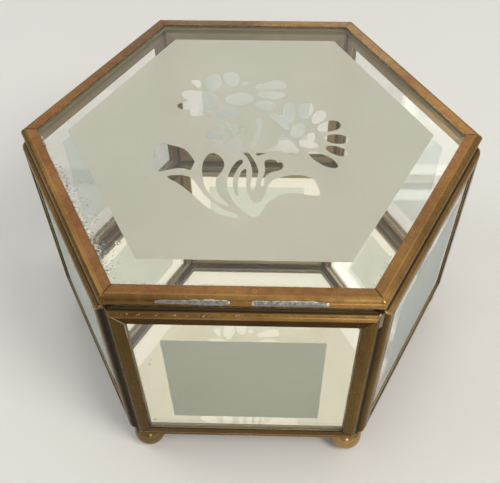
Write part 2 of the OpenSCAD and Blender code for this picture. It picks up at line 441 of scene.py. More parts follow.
# Painted light: the frames are painted cooler and bluer towards the back, for the light that falls there.
far_painted_light = tint(aged, fade(aged, y, 5.0, 62.0), (1, 1, 1, 1), (0.82, 1.02, 1.5, 1))
colour = tint(aged, 1.0, colour, tint(aged, 1.0, far_painted_light, given["Tone"], "MULTIPLY"), "MULTIPLY")
from_arris = gap(aged, across, 2.85)
arris = times(aged, fade(aged, from_arris, 0.32, 0.02), fade(aged, cloud, 0.3, 0.7, 0.25, 0.55))
colour = tint(aged, arris, colour, tint(aged, 1.0, srgb(190, 150, 92), given["Tone"], "MULTIPLY"))
seam = times(aged, fade(aged, given["Mitre"], 0.3, 0.08), fade(aged, across, 3.4, 2.6, 0.15, 1.0))
by_glass = times(aged, fade(aged, across, 0.4, 0.05), fade(aged, mottle, 0.35, 0.7, 0.1, 0.4))
specks = times(aged, fade(aged, grain(aged, place, 1.8, 4.0, 0.7), 0.64, 0.76), 0.2)
dirt = maths(aged, "MAXIMUM", maths(aged, "MAXIMUM", seam, by_glass), specks)
# Less dirt towards the back: partly dirt, partly painted light that makes the back frames lighter.
dirt = times(aged, dirt, fade(aged, y, 5.0, 45.0, 1.0, 0.25))
# Painted Shade is shade painted in the dirt colour, in grooves and gaps, and is added to the dirt here; from
# this line on, dirt holds both.
dirt = maths(aged, "MAXIMUM", times(aged, dirt, given["Dirt"]), given["Painted Shade"])
colour = tint(aged, dirt, colour, srgb(30, 21, 11))
pale_flecks = dots(aged, place, 0.75, 0.13, 0.12)
colour = tint(aged, times(aged, pale_flecks, 0.6), colour, srgb(214, 188, 132))
rough = fade(aged, mottle, 0.3, 0.75, 0.24, 0.36)
rough = plus(aged, rough, maths(aged, "MULTIPLY_ADD", drawn, 0.08, -0.04))
rough = maths(aged, "MULTIPLY_ADD", dirt, 0.35, maths(aged, "MULTIPLY_ADD", polish, -0.06, rough))
coarse = maths(aged, "MULTIPLY_ADD", drawn, 0.12, times(aged, mottle, 0.5))
height = plus(aged, times(aged, fine, 0.35), coarse)
height = plus(aged, height, times(aged, pale_flecks, 0.4))
height = maths(aged, "MULTIPLY_ADD", dirt, -0.5, height)
metallic = maths(aged, "MULTIPLY_ADD", dirt, -0.75, 1.0)
join(aged, result, Color=colour, Metallic=metallic, Roughness=rough, Height=height)


PALE_MITRE = (-33.3, -66.0, 85.2)
LID_DROP = (3.2, -61.5, 93.35)


def aged_brass(tree, **values):
    """The aged brass group with these inputs, away from any mitre unless one is given."""
    return add(tree, "Group", {"Mitre": 5.0, **values}, node_tree=aged).outputs


def distance(tree, place, spot):
    return add(tree, "VectorMath", (place, spot), operation="DISTANCE").outputs["Value"]


def brass(name, run_group, rubbed, dirt, tone, lip=None, under=0.0, drop=None):
    """A brass finish for a kind of frame: how golden it is rubbed, how much dirt it has, how light it is.
    lip is the place of a hexagon frame's inner edge, under the height of its underside, drop a drop's ring.
    Without a lip it is a side frame, with its own painted tones of light and shade for level and upright
    lengths and its inner face. Every frame also gets painted shade in its grooves or in the gap below it."""
    look, tree, surface = material(name)
    place = millimetres(tree)
    x, y, height = parts(tree, place)
    run = add(tree, "Group", (place,) if lip is None else (place, lip), node_tree=run_group).outputs
    out = add(tree, "Group", (place,), node_tree=fold).outputs["Out"]
    if lip is None:
        upright = maths(tree, "GREATER_THAN", run["Length"], 12.0)
        round_part = fade(tree, run["Across"], 2.5, 3.1)
        # Painted light and shade: the flat lips are painted far darker than the round backs, the uprights
        # darker, the bottom came lighter, and the uprights at the right front corner lighter, for how the
        # light falls on each.
        level = tint(tree, round_part, (0.2, 0.185, 0.09, 1), (1.06, 1.06, 1.02, 1))
        lowest = tint(tree, round_part, (0.4, 0.4, 0.24, 1), (1.2, 1.2, 1.15, 1))
        level = tint(tree, fade(tree, height, 24.0, 20.0), level, lowest)
        standing = tint(tree, round_part, (0.31, 0.34, 0.19, 1), (0.25, 0.23, 0.12, 1))
        right_corner = times(tree, fade(tree, x, 20.0, 32.0), fade(tree, y, -46.0, -58.0))
        right_corner_light = tint(tree, round_part, (0.46, 0.54, 0.34, 1), (0.42, 0.37, 0.15, 1))
        standing = tint(tree, right_corner, standing, right_corner_light)
        # Painted light: the inner faces are painted lighter, with less dirt and no painted shade, for the
        # light inside the casket.
        inside = fade(tree, out, 64.6, 63.4)
        tone = tint(tree, inside, tint(tree, upright, level, standing), (1.3, 1.22, 1.05, 1))
        # Painted shade: the far side of each upright's round back, in the corner groove, and the top of the
        # top came under the lid are darkened; less so at the right front corner, where solder fills the
        # groove.
        filled = maths(tree, "MULTIPLY_ADD", right_corner, -0.6, 1.0)
        groove = times(tree, fade(tree, run["Across"], 3.7, 4.6, 0.0, 0.9), upright)
        groove = times(tree, groove, filled)
        deep = maths(tree, "MAXIMUM", groove, fade(tree, height, 87.85, 88.3, 0.0, 0.97))
        deep = times(tree, deep, minus(tree, 1.0, inside))
        dirt = maths(tree, "MULTIPLY_ADD", inside, -0.9 * dirt, dirt)
        depth = gap(tree, out, PANE_OUT)
        greyed = maths(tree, "MULTIPLY_ADD", upright, -0.45, 0.55)
    else:
        rise = minus(tree, height, under)
        # Painted shade low on the round back: in the gap under the lid, and where the floor frame meets the
        # floor.
        deep = fade(tree, rise, 1.05, 0.45, 0.0, 0.92)
        deep = times(tree, deep, fade(tree, run["Across"], 3.2, 3.6))
        below_top = maths(tree, "LESS_THAN", height, 91.0)
        inside = times(tree, maths(tree, "LESS_THAN", out, 62.7), below_top)
        depth = gap(tree, rise, BACK_RADIUS)
        greyed = 0.5
    wear_and_painted_light = {"Rubbed": rubbed, "Dirt": dirt, "Painted Shade": deep, "Tone": tone}
    metal = aged_brass(tree, Place=place, **{k: run[k] for k in RUN}, **wear_and_painted_light)
    # The inner faces are also painted a pale grey-green, lighter than the brass, for the light inside the
    # casket.
    colour = tint(tree, times(tree, inside, greyed), metal["Color"], srgb(144, 142, 118))
    within_lip = maths(tree, "LESS_THAN", run["Across"], 2.7)
    channel = times(tree, maths(tree, "LESS_THAN", depth, 1.6), within_lip)
    colour = tint(tree, times(tree, channel, 0.8), colour, srgb(166, 164, 132))
    if lip is None:
        near = fade(tree, distance(tree, place, PALE_MITRE), 2.7, 2.2)
        pale = times(tree, near, fade(tree, run["Mitre"], 0.12, 0.06, 0.0, 0.8))
        colour = tint(tree, pale, colour, srgb(216, 208, 186))
    if drop:
        from_rim = gap(tree, distance(tree, place, drop), 0.5)
        rim = fade(tree, from_rim, 0.22, 0.06, 0.0, 0.75)
        colour = tint(tree, rim, colour, srgb(190, 146, 86))
    principled(tree, surface, {
        "Base Color": colour,
        "Metallic": maths(tree, "MULTIPLY_ADD", channel, -0.4, metal["Metallic"]),
        "Roughness": maths(tree, "MULTIPLY_ADD", inside, 0.14, metal["Roughness"]),
        "Specular IOR Level": 0.2,
        "Specular Tint": (0.91, 0.83, 0.7, 1),
        "Normal": relief(tree, metal["Height"], 0.012, 0.7),
    })
    return look


DULL_TONE, FULL_TONE = (0.8, 0.76, 0.66, 1), (1, 1, 1, 1)
floor_brass = brass("floor frame brass", ring_run, 0.3, 1.0, DULL_TONE, HEXAGON_LIP, FLOOR_FRAME_UNDER)
dress([f"base_came_{side}" for side in SIDES], floor_brass)
side_brass = brass("side frame brass", square_run, 0.35, 1.0, FULL_TONE)
dress([f"{edge}_came_{side}" for side in SIDES for edge in ("top", "right", "bottom", "left")], side_brass)
lid_brass = brass("lid frame brass", ring_run, 0.42, 0.85, FULL_TONE, HEXAGON_LIP, LID_UNDER, LID_DROP)
dress([f"lid_came_{side}" for side in SIDES], lid_brass)


# Feet: six turned brass balls, each soldered on under a corner. They are rubbed brighter than the frames,
# and are dull and dark at the top, round the collar of solder.
foot_look, tree, surface = material("foot brass")
place = millimetres(tree)
x, y, z = parts(tree, place)
kind = {"Across": 4.0, "Length": 2.0, "Rubbed": 0.8, "Dirt": 0.8, "Tone": (0.98, 1.12, 1.3, 1)}
metal = aged_brass(tree, Place=place, Run=z, **kind)
ragged = maths(tree, "MULTIPLY_ADD", grain(tree, place, 0.9, 4.0), 2.0, z)
under = times(tree, fade(tree, ragged, 9.8, 11.2), 0.8)
principled(tree, surface, {
    "Base Color": tint(tree, under, metal["Color"], srgb(58, 44, 28)),
    "Metallic": times(tree, metal["Metallic"], maths(tree, "MULTIPLY_ADD", under, -0.6, 1.0)),
    "Roughness": maths(tree, "MULTIPLY_ADD", under, 0.25, minus(tree, metal["Roughness"], 0.1)),
    "Normal": relief(tree, metal["Height"], 0.012, 0.7),
})
dress([name for name in nodes if name.startswith("foot_") and name != "foot_solder"], foot_look)


# Side panes: six squares of clear sheet glass, each with a square field etched matt on its outer face. The
# front one is milkier than the other five. The frost is shown as a film two hundredths of a millimetre thick,
# lying on the glass inside the clear margin.
SQUARE_HALF = 23.1
FILM_BACK, FILM_FACE = 65.51, 65.53


def directions(side):
    """The way along one of the six sides, and the way out of it."""
    turn = SIDES.index(side) * math.pi / 3
    return Vector((math.cos(turn), math.sin(turn), 0)), Vector((math.sin(turn), -math.cos(turn), 0))


def on_side(side, along, out, up):
    """A point given from one of the six sides, in millimetres, as a point of the casket in metres."""
    tangent, outward = directions(side)
    return (along * tangent + out * outward + Vector((0, 0, up))) * MM


etched, given, result = group("etched surface", {"Place": "Vector"}, {"Shade": "Float", "Height": "Float"})
soft, grit = grain(etched, given["Place"], 0.05, 3.0), grain(etched, given["Place"], 5.0, 3.0, 0.7)
rubs = times(etched, dots(etched, given["Place"], 0.16, 0.07, 0.2), 0.1)
speckle = fade(etched, grit, 0.3, 0.7, -0.02, 0.02)
shade = plus(etched, fade(etched, soft, 0.3, 0.7, 0.985, 1.01), speckle)
join(etched, result, Shade=minus(etched, shade, rubs), Height=grit)


def frost(name, colour, behind, clear, rough=0.62, milky=0.3):
    """Etched glass: its matt colour, the light that comes through it, and the share that is blurred glass."""
    look, tree, surface = material(name)
    matt = add(tree, "Group", (millimetres(tree),), node_tree=etched).outputs
    level = add(tree, "CombineColor", (matt["Shade"],) * 3).outputs[0]
    bump = relief(tree, matt["Height"], 0.02, 0.5)
    shader = add(tree, "BsdfPrincipled", {
        "Base Color": tint(tree, 1.0, colour, level, "MULTIPLY"),
        "Roughness": rough,
        "IOR": 1.3,
        "Transmission Weight": clear,
        "Normal": bump,
    })
    glow = add(tree, "BsdfTranslucent", (tint(tree, 1.0, behind, level, "MULTIPLY"), bump))
    tree.links.new(add(tree, "MixShader", (milky, shader.outputs[0], glow.outputs[0])).outputs[0], surface)
    return look


dress([f"pane_{side}" for side in SIDES], clear_glass)
loosen([f"pane_{side}" for side in SIDES])
front_frost = frost("front pane frost", (0.71, 0.73, 0.665, 1), (0.88, 0.9, 0.84, 1), 0.9)
light_frost = frost("lightly etched frost", (0.86, 0.93, 0.9, 1), (0.7, 0.75, 0.8, 1), 1.0, 0.4, 0.12)
for side in SIDES:
    rng = random.Random(side)
    square = []
    for k in range(4):
        turns = (math.pi / 4 + k * math.pi / 2, math.pi / 4 + (k + 1) * math.pi / 2)
        a, b = (Vector((SQUARE_HALF * math.cos(t), SQUARE_HALF * math.sin(t))) * math.sqrt(2) for t in turns)
        for s in range(12):
            shift = Vector((rng.uniform(-0.05, 0.05), rng.uniform(-0.05, 0.05))) if s else Vector((0, 0))
            square.append(tuple(a.lerp(b, s / 12) + shift))
    film = flat_plate(f"side_frost_{side}", square, FILM_BACK, FILM_FACE)
    for vertex in film.data.vertices:
        vertex.co = on_side(side, vertex.co.x / MM, vertex.co.z / MM, PANE_UP + vertex.co.y / MM)
    film.data.materials.append(front_frost if side == "front" else light_frost)
    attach(film, "body")


# Solder: tin and lead run into the six corner grooves, under the side frames and round the feet. It has gone
# dark, with bright patches at the top of the two front corners and a bright run on the front's bottom came.
# The mitres of the lid's and the side frames are filled too, and rubbed to the colour of brass.
LID_BACK_OUT, LID_UP = 62.8, 91.35
SIDE_BACK_WIDE, SIDE_BACK_TALL = 34.6, 34.7
BOTTOM_BACK_UP = 16.95
TIN_BRIGHT_SPOTS = [((36.6, -63.4, 84.4), 3.9), ((-37.6, -64.2, 88.6), 0.9)]
tin, given, result = group("solder", {"Place": "Vector", "Dull": "Float"}, METAL)
place = given["Place"]
skin, lumps = grain(tin, place, 1.3, 4.0, 0.65), grain(tin, place, 0.45, 3.0)
colour = tint(tin, fade(tin, skin, 0.3, 0.7), srgb(124, 123, 122), srgb(154, 153, 154))
patches = plus(tin, lumps, times(tin, given["Dull"], 0.4))
dull = times(tin, fade(tin, patches, 0.46, 0.6), given["Dull"])
join(
    tin,
    result,
    Color=tint(tin, dull, colour, srgb(38, 29, 16)),
    Metallic=maths(tin, "MULTIPLY_ADD", dull, -0.5, 1.0),
    Roughness=maths(tin, "MULTIPLY_ADD", dull, 0.3, fade(tin, skin, 0.3, 0.7, 0.22, 0.34)),
    Height=plus(tin, times(tin, skin, 0.5), lumps),
)


def solder(name, dull, depth, shiny=()):
    """A solder finish, dull 0 to 1; shiny gives the places, each with its reach, that stayed bright."""
    look, tree, surface = material(name)
    place = millimetres(tree)
    for spot, reach in shiny:
        beyond = fade(tree, distance(tree, place, spot), reach * 0.7, reach)
        dull = maths(tree, "MINIMUM", dull, beyond)
    metal = add(tree, "Group", (place, dull), node_tree=tin).outputs
    principled(tree, surface, {
        "Base Color": metal["Color"],
        "Metallic": metal["Metallic"],
        "Roughness": metal["Roughness"],
        "Specular IOR Level": 0.2,
        "Specular Tint": (0.85, 0.75, 0.6, 1),
        "Normal": relief(tree, metal["Height"], depth),
    })
    return look


old_solder = solder("old solder", 1.0, 0.15, TIN_BRIGHT_SPOTS)
bright_solder = solder("bright solder", 0.0, 0.03)
dress(["corner_solder", "base_solder", "foot_solder"], old_solder)


def smear(
    length, width, height, surface_at, seed, columns=56, rows=9, swell=None, rough=1.0, hollow=0.0, edge=0.35
):
    """A run of metal on a curved face: surface_at(u, v) gives a point in millimetres and its normal.
    hollow sinks its middle, which leaves a raised rim; a low edge makes its sides steep."""
    vertices, faces, ring = [], [], rows + 2
    for i in range(columns + 1):
        u = i / columns * 2 - 1
        end = math.sqrt(max(0.0, 1 - abs(u) ** 9))
        wave = Vector((u * length * 0.3, seed * 3.1, 0.0))
        ragged = 0.2 * noise.noise(wave) + 0.08 * noise.noise(wave * 3.3)
        half = width / 2 * (0.2 + 0.8 * end) * (1 + rough * ragged)
        half *= swell(u) if swell else 1.0
        drift = 0.1 * rough * width * noise.noise(wave * 0.5 + Vector((0, 7, 0)))
        for j in range(ring):
            t = j / (rows - 1) * 2 - 1 if j < rows else 0.5 - (j - rows)
            point, normal = surface_at(u * length / 2, drift + half * t)
            if j < rows:
                broad = noise.noise(Vector((u * length * 0.4, t * 0.9, seed)))
                small = noise.noise(Vector((u * length * 1.2, t * 2.0, seed + 9)))
                bump = broad + 0.4 * small
                lift = height * (1 - t * t) ** edge * end * (0.8 + 0.4 * rough * bump)
                lift = lift * (1 - hollow * (1 - t * t) ** 2) + 0.004
            else:
                lift = -0.05
            vertices.append((point + normal * lift) * MM)
    for i in range(columns):
        for j in range(ring):
            a, b = i * ring + j, i * ring + (j + 1) % ring
            faces.append((a, b, b + ring, a + ring))
    last = range(columns * ring, (columns + 1) * ring)
    return vertices, faces + [tuple(range(ring)), tuple(reversed(last))]


def in_one(name, shapes, look, body):
    """One piece from several shapes, kept inside the CAD's box. It rides on a body and has the given finish.
    """
    vertices, faces = [], []
    for points, sides in shapes:
        faces += [tuple(k + len(vertices) for k in side) for side in sides]
        vertices += [[min(high, max(low, at)) for at, low, high in zip(point, *cad_box)] for point in points]
    piece = mesh_object(name, vertices, faces)
    form = bmesh.new()
    form.from_mesh(piece.data)
    bmesh.ops.recalc_face_normals(form, faces=form.faces)
    form.to_mesh(piece.data)
    form.free()
    piece.data.materials.append(look)
    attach(piece, body)
    return piece


def at_lid_corner(k):
    """The ridge where two lengths of the lid frame meet, over their round backs."""
    turns = [(k + side) * math.pi / 3 - math.pi / 6 for side in (0, 1)]
    outward = [Vector((math.cos(t), math.sin(t), 0)) for t in turns]
    corner = (outward[0] + outward[1]).normalized()
    run = [Vector((outward[0].y, -outward[0].x, 0)), Vector((-outward[1].y, outward[1].x, 0))]

    def at(u, v):
        angle, side = math.radians(8) + u / BACK_RADIUS, 1 if v > 0 else 0
        out, up = LID_BACK_OUT + BACK_RADIUS * math.cos(angle), LID_UP + BACK_RADIUS * math.sin(angle)
        ridge = corner * (out / math.cos(math.pi / 6)) + Vector((0, 0, up))
        ease = min(1.0, abs(v) / 0.3)
        facing = (corner * (1 - ease) + outward[side] * ease).normalized()
        return ridge + run[side] * abs(v), facing * math.cos(angle) + Vector((0, 0, math.sin(angle)))
    return at


def at_side_corner(side, right, top):
    """The ridge where an upright and a level length of a side frame meet, over their round backs."""
    tangent, outward = directions(side)
    over, away = Vector((0, 0, top)), tangent * right
    middle = Vector((0, 0, PANE_UP))

    def at(u, v):
        angle = math.radians(38) + u / BACK_RADIUS
        flat, deep = BACK_RADIUS * math.cos(angle), BACK_RADIUS * math.sin(angle)
        wide, tall = away * (SIDE_BACK_WIDE + flat), over * (SIDE_BACK_TALL + flat)
        ridge = wide + middle + tall + outward * (PANE_OUT + deep)
        ease = min(1.0, abs(v) / 0.3)
        facing = ((away + over).normalized() * (1 - ease) + (over if v > 0 else away) * ease).normalized()
        point = ridge - (away if v > 0 else over) * abs(v)
        return point, facing * math.cos(angle) + outward * math.sin(angle)
    return at


mitre_look, tree, surface = material("filled mitre brass")
kind = {"Across": 3.8, "Length": 1.0, "Rubbed": 0.8, "Dirt": 0.5, "Tone": (0.95, 0.92, 0.86, 1)}
metal = aged_brass(tree, Place=millimetres(tree), Run=0.0, **kind)
principled(tree, surface, {
    "Base Color": metal["Color"],
    "Metallic": metal["Metallic"],
    "Roughness": metal["Roughness"],
    "Normal": relief(tree, metal["Height"], 0.02),
})
lid_fills = [smear(5.0, 1.7, 0.03, at_lid_corner(k), k + 0.5, 24, 9, rough=0.6, edge=1.5) for k in range(6)]
in_one("lid_mitre_fills", lid_fills, mitre_look, "lid")
side_fills = []
for n, side in enumerate(SIDES):
    for right, top in ((-1, -1), (-1, 1), (1, -1), (1, 1)):
        ridge = at_side_corner(side, right, top)
        side_fills.append(smear(3.4, 1.3, 0.025, ridge, n + 0.7, 20, 9, rough=0.6, edge=1.5))
in_one("side_mitre_fills", side_fills, mitre_look, "body")


def lower_back(u, v):
    """The outward round back of the front panel's bottom came."""
    angle = math.radians(-14) + v / BACK_RADIUS
    out, up = -PANE_OUT - BACK_RADIUS * math.cos(angle), BOTTOM_BACK_UP + BACK_RADIUS * math.sin(angle)
    return Vector((u - 3.5, out, up)), Vector((0, -math.cos(angle), math.sin(angle)))


in_one("bottom_solder_run", [smear(10.5, 0.8, 0.1, lower_back, 5.0)], bright_solder, "body")


# Hinge: a brass tube on the lid between two on the body, on one brass pin, all let into the back frames.
# Dirt has gathered dark where one tube ends and the next begins.
TUBE_JOINT = 10.15
hinge_look, tree, surface = material("hinge brass")
place = millimetres(tree)
x, y, z = parts(tree, place)
kind = {"Across": 3.6, "Length": 4.0, "Rubbed": 0.5, "Dirt": 1.0, "Tone": (0.9, 0.88, 0.82, 1)}
metal = aged_brass(tree, Place=place, Run=x, **kind)
from_joint = gap(tree, maths(tree, "ABSOLUTE", x), TUBE_JOINT)
joint = fade(tree, from_joint, 0.7, 0.2)
principled(tree, surface, {
    "Base Color": tint(tree, times(tree, joint, 0.8), metal["Color"], srgb(40, 31, 20)),
    "Metallic": metal["Metallic"],
    "Roughness": maths(tree, "MULTIPLY_ADD", joint, 0.2, metal["Roughness"]),
    "Normal": relief(tree, metal["Height"], 0.012, 0.7),
})
dress(["hinge_tube_lid", "hinge_tube_left", "hinge_tube_right", "hinge_pin"], hinge_look)


# Lid: one hexagon of clear sheet glass in a frame of the same came, mitred at the six corners.
# Its top face is etched matt inside a clear margin, with a spray of daisies left clear by the mask.
FROST_APOTHEM = 51.25
FROST_BACK, FROST_FACE = 92.86, 92.88
SPRAY_FORWARD = 1.5


def petal(x, y, half_length, half_width, turn, lean=0.0):
    """An egg-shaped petal; lean makes its far end the wider one."""
    c, s = math.cos(math.radians(turn)), math.sin(math.radians(turn))
    outline = []
    for k in range(8):
        u, v = math.cos(math.tau * k / 8), math.sin(math.tau * k / 8)
        u, v = half_length * u, half_width * v * (1 + lean * u)
        outline.append((x + u * c - v * s, y + u * s + v * c))
    return outline


leaves = [
    [(-29.9, -9), (-29.7, -6), (-28, -4), (-25, -4.7), (-22, -5.7), (-20.4, -6.6), (-18.4, -9),
     (-16.8, -12), (-16.8, -12.2), (-17.6, -15.5), (-17.8, -15.7), (-19.7, -15.1), (-22.5, -15.1),
     (-25, -15.9), (-27.2, -16.4), (-29, -15.2), (-30, -12.3)],
    [(-12, -8.2), (-10.2, -8.5), (-8.5, -10.2), (-7.5, -13), (-8, -16), (-9.3, -18.6), (-9.5, -22),
     (-8.2, -26), (-5.1, -29.9), (-5.3, -30.1), (-8.6, -28.6), (-11.2, -25.4), (-12.9, -22), (-13.8, -18),
     (-14.2, -14.5), (-13.7, -11)],
    [(-24.5, -18.7), (-24.3, -18.4), (-22, -17.9), (-19.6, -18), (-17.2, -18.9), (-15.3, -21.6),
     (-13.1, -25), (-10.2, -28.5), (-6.4, -31.6), (-2, -33.9), (-2.2, -34.5), (-6.2, -33.9), (-10.2, -31.7),
     (-13.6, -28.6), (-16.8, -25.2), (-20.5, -21.7)],
    [(-2.2, -10.9), (-1.8, -11.8), (-2.9, -14), (-4.1, -17.5), (-4.5, -21), (-3.9, -24), (-2.5, -26.2),
     (-2.5, -25.6), (-2.9, -22), (-2.6, -18), (-1.5, -15.2), (-0.9, -14.9), (-0.5, -17), (-0.4, -20.5),
     (-0.1, -24), (0.8, -26.7), (2.1, -28.5), (3.3, -28.6), (4.6, -27.2), (5.3, -25.2), (5.9, -22.7),
     (7, -20.3), (8.7, -18.8), (11, -17.8), (14.5, -17.2), (18, -17.7), (20, -18.9), (20.9, -21.5),
     (21.6, -24.7), (21.4, -25.3), (18.5, -25.4), (14.5, -24.7), (11, -25), (8.2, -26.6), (6.2, -29),
     (4.6, -32), (3.2, -34.1), (2, -34.3), (0, -33), (-2.2, -30.7), (-4.2, -27.6), (-5.7, -24),
     (-6.2, -20.5), (-5.7, -16.5), (-4.6, -13.3), (-3.3, -11.3)],
]
stems = [
    [(-9, -4.6), (-8.4, -3.7), (-7, -3.1), (-6.3, -2), (-4.8, -1.4), (-3, -1.4), (-2.3, -2.3), (-2, -4),
     (-1.9, -5.4), (-0.4, -7.4), (1.2, -10.2), (2.6, -13.5), (3.1, -16.3), (2.7, -19), (2.4, -21.5),
     (1.6, -23.7), (0.9, -22.5), (1, -20), (1.3, -17.2), (1, -14.2), (0.2, -11.5), (-1.2, -8.8),
     (-2.9, -7.1), (-5.5, -7), (-7.8, -5.9)],
    [(-15.1, -0.5), (-14.2, 2), (-13.2, 2.4), (-11.3, 1.6), (-9.6, 0), (-8.3, -1.3), (-9.4, -3.2),
     (-12.2, -2.5)],
    [(-11.4, 4.6), (-10.6, 5.3), (-9.4, 4.6), (-7.9, 2), (-6.6, -0.2), (-7.9, -0.6), (-9.2, 0.8),
     (-10.6, 2.9)],
    [(-8.1, 5.9), (-7.2, 6.4), (-6, 5.7), (-4.9, 5.8), (-4.1, 5), (-4, 3), (-4.4, 0.7), (-5.3, 0.6),
     (-6.3, 2), (-7.4, 3.9)],
    petal(-2.5, 2.4, 1.4, 1.1, 60),
    [(1.9, 8.4), (2.8, 8.9), (3.8, 8), (3.9, 5), (3.3, 1.5), (2.2, -2), (1.6, -5), (0.6, -5.6), (0.2, -4.8),
     (1, -2), (1.8, 1.5), (2.1, 5)],
    [(2.2, -8.2), (2.9, -7.3), (5.3, -6.1), (7.6, -5.3), (8.7, -4.2), (9.2, -1.8), (10.3, 0.5), (11.2, 0.4),
     (12.3, -1.3), (14, -3.1), (14.8, -5), (15.8, -6.2), (15.4, -7.2), (13.6, -8), (12, -7.8), (10.3, -7),
     (8.8, -6.8), (6.6, -7.4), (4.3, -8.4), (2.6, -8.9)],
    [(4.9, -12.3), (5.3, -11), (6.8, -10.6), (8.4, -11), (9, -11.9), (10, -11.8), (10.7, -12.9),
     (10.3, -14.6), (9, -15.5), (7.2, -16.1), (5.7, -17.5), (5, -19.5), (4.7, -22), (4.3, -22),
     (4.2, -19.5), (4.9, -17), (5.2, -14.6)],
]
right_daisy = [
    petal(15.4, 2.9, 3.6, 2.3, 70),
    [(12.4, 3.1), (10.2, 4.7), (8.2, 7.2), (6.4, 9.6), (6.1, 11.1), (7.1, 11.6), (9, 11.2), (10.3, 10.5),
     (10.6, 12.5), (10.8, 15), (12, 16.7), (13.7, 16.3), (14.7, 14), (14.7, 11.3), (13.6, 7.3), (12.6, 6.2),
     (12.7, 4.5)],
    petal(18.2, 12.8, 4.3, 2.4, 75),
    petal(22.4, 9.6, 3.7, 2.1, 64, 0.15),
    petal(25.6, 5.1, 4.1, 2.4, 22, 0.2),
    petal(27.9, -0.9, 3.9, 2.2, -6),
    petal(27.6, -6.3, 3.9, 1.9, -26, 0.1),
    petal(23.1, -10.3, 5.4, 2.0, -38, 0.1),
    [(15.8, -2.5), (16.6, -0.7), (18.2, 0.8), (19.2, 1.7), (20.7, 1.6), (21, -0.3), (20.5, -2.4),
     (21.9, -4.2), (20.8, -5.2), (18.4, -5.1), (16.4, -4.4)],
]
left_daisy = [
    petal(-4.2, 18.5, 4.9, 3.3, 8),
    petal(4.9, 15.4, 3.5, 2.4, -5),
    petal(6.9, 20.8, 4.9, 2.0, 0, -0.1),
    [(1, 24.5), (2.5, 23.9), (6, 24), (9.5, 24.3), (12, 25.6), (11.6, 27.6), (9, 28.7), (6, 28.2),
     (4.2, 27), (2, 26.6)],
    petal(-2.4, 27.1, 1.5, 1.2, 0),
    [(-6.4, 24.8), (-5, 27), (-4.6, 30), (-5.6, 32.6), (-8, 33.2), (-10, 31.5), (-10.2, 28.5), (-8.6, 26)],
    [(-11.4, 24.5), (-10.5, 26.7), (-10.9, 29.7), (-12.7, 32), (-15, 31.6), (-16.4, 29), (-16.4, 26),
     (-14.8, 23.2), (-12.6, 22.7)],
    [(-21.4, 27.6), (-20.3, 28.7), (-18.8, 28.3), (-17.9, 26.8), (-17.8, 25), (-18.4, 24), (-19.4, 25)],
    [(-24, 20.4), (-23.7, 21.9), (-22, 22.6), (-18.5, 22.5), (-15, 21.8), (-12.4, 20.4), (-11, 18.7),
     (-12.6, 17.4), (-15, 16.6), (-15, 16.3), (-12.6, 15.9), (-10.8, 15.2), (-10.8, 14), (-12.6, 13.2),
     (-15.2, 12.6), (-16, 12.3), (-14.6, 11.2), (-14.2, 10.3), (-15.4, 9.7), (-18.5, 9.5), (-20.2, 9.9),
     (-20.3, 11.4), (-20.6, 12.4), (-22.4, 12.5), (-24.2, 13.4), (-24.9, 14.6), (-24.2, 15.8),
     (-22.8, 16.4), (-21.6, 17.4), (-22.6, 18.4), (-23.6, 19.3)],
    [(-11.6, 11.5), (-10.8, 13), (-8.5, 13.5), (-5.4, 13.3), (-3.7, 11.8), (-4.2, 9.6), (-6, 8.8),
     (-8.3, 9), (-9.6, 7.8), (-10.9, 8.4)],
]
drawing = leaves + stems + right_daisy + left_daisy
spray = [[(x, y - SPRAY_FORWARD) for x, y in outline] for outline in drawing]

dress(["lid_glass"], clear_glass)
loosen(["lid_glass"])
lid_film = flat_plate("lid_frost", hexagon(FROST_APOTHEM, 0.05, 16, 3), FROST_BACK, FROST_FACE, spray)
lid_film.data.materials.append(frost("lid frost", (0.85, 0.85, 0.775, 1), (1.0, 0.965, 0.89, 1), 0.75))
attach(lid_film, "lid")


# Small marks of age on the glass: crumbs of dried flux and polish along the came, and a dried drop.
# They are thickest along the left of the lid, where they follow the lip of the frame.
LID_FACE, LID_LIP = 92.855, 59.9
SIDE_FACE = 65.505
DROP_X, DROP_Y = -35.2, -46.0


def flecks(places, sizes, seed):
    """Low crumbs on a face: places gives (point, normal) in millimetres, sizes the least and most radius."""
    rng, shapes = random.Random(seed), []
    for point, normal in places:
        radius, count = sizes[0] + (sizes[1] - sizes[0]) * rng.random() ** 2.5, rng.randint(5, 7)
        across = normal.orthogonal().normalized()
        other = normal.cross(across)
        rim = []
        for k in range(count):
            a, r = math.tau * (k + rng.random() * 0.5) / count, radius * rng.uniform(0.6, 1.25)
            rim.append((point + (across * math.cos(a) + other * math.sin(a)) * r + normal * 0.004) * MM)
        peak = (point + normal * min(0.035, radius * 0.3)) * MM
        shapes.append((rim + [peak], [(k, (k + 1) % count, count) for k in range(count)]))
    return shapes


rng = random.Random(11)
up_normal, crumbs = Vector((0, 0, 1)), []
for side, count, low, high, depth in (
    ("front_left", 900, -33, 34, 0.6),
    ("front_left", 700, 8, 31, 2.0),
    ("front_left", 600, -16, 6, 1.6),
    ("front", 120, -34, -8, 0.8),
    ("front_right", 80, -34, -20, 0.9),
    ("back_left", 60, -33, 10, 0.5),
):
    for _ in range(count):
        inward = min(rng.expovariate(1 / depth), 7.5)
        spot = on_side(side, rng.uniform(low, high) * (1 - inward / 110), LID_LIP - inward, LID_FACE) / MM
        crumbs.append((spot, up_normal))
crumb_look, tree, surface = material("dried flux")
place = millimetres(tree)
pale = fade(tree, grain(tree, place, 1.3, 1.0), 0.46, 0.54)
principled(tree, surface, {
    "Base Color": tint(tree, pale, srgb(112, 108, 96), srgb(226, 226, 216)),
    "Roughness": fade(tree, grain(tree, place, 3.0), 0.3, 0.7, 0.55, 0.8),
})
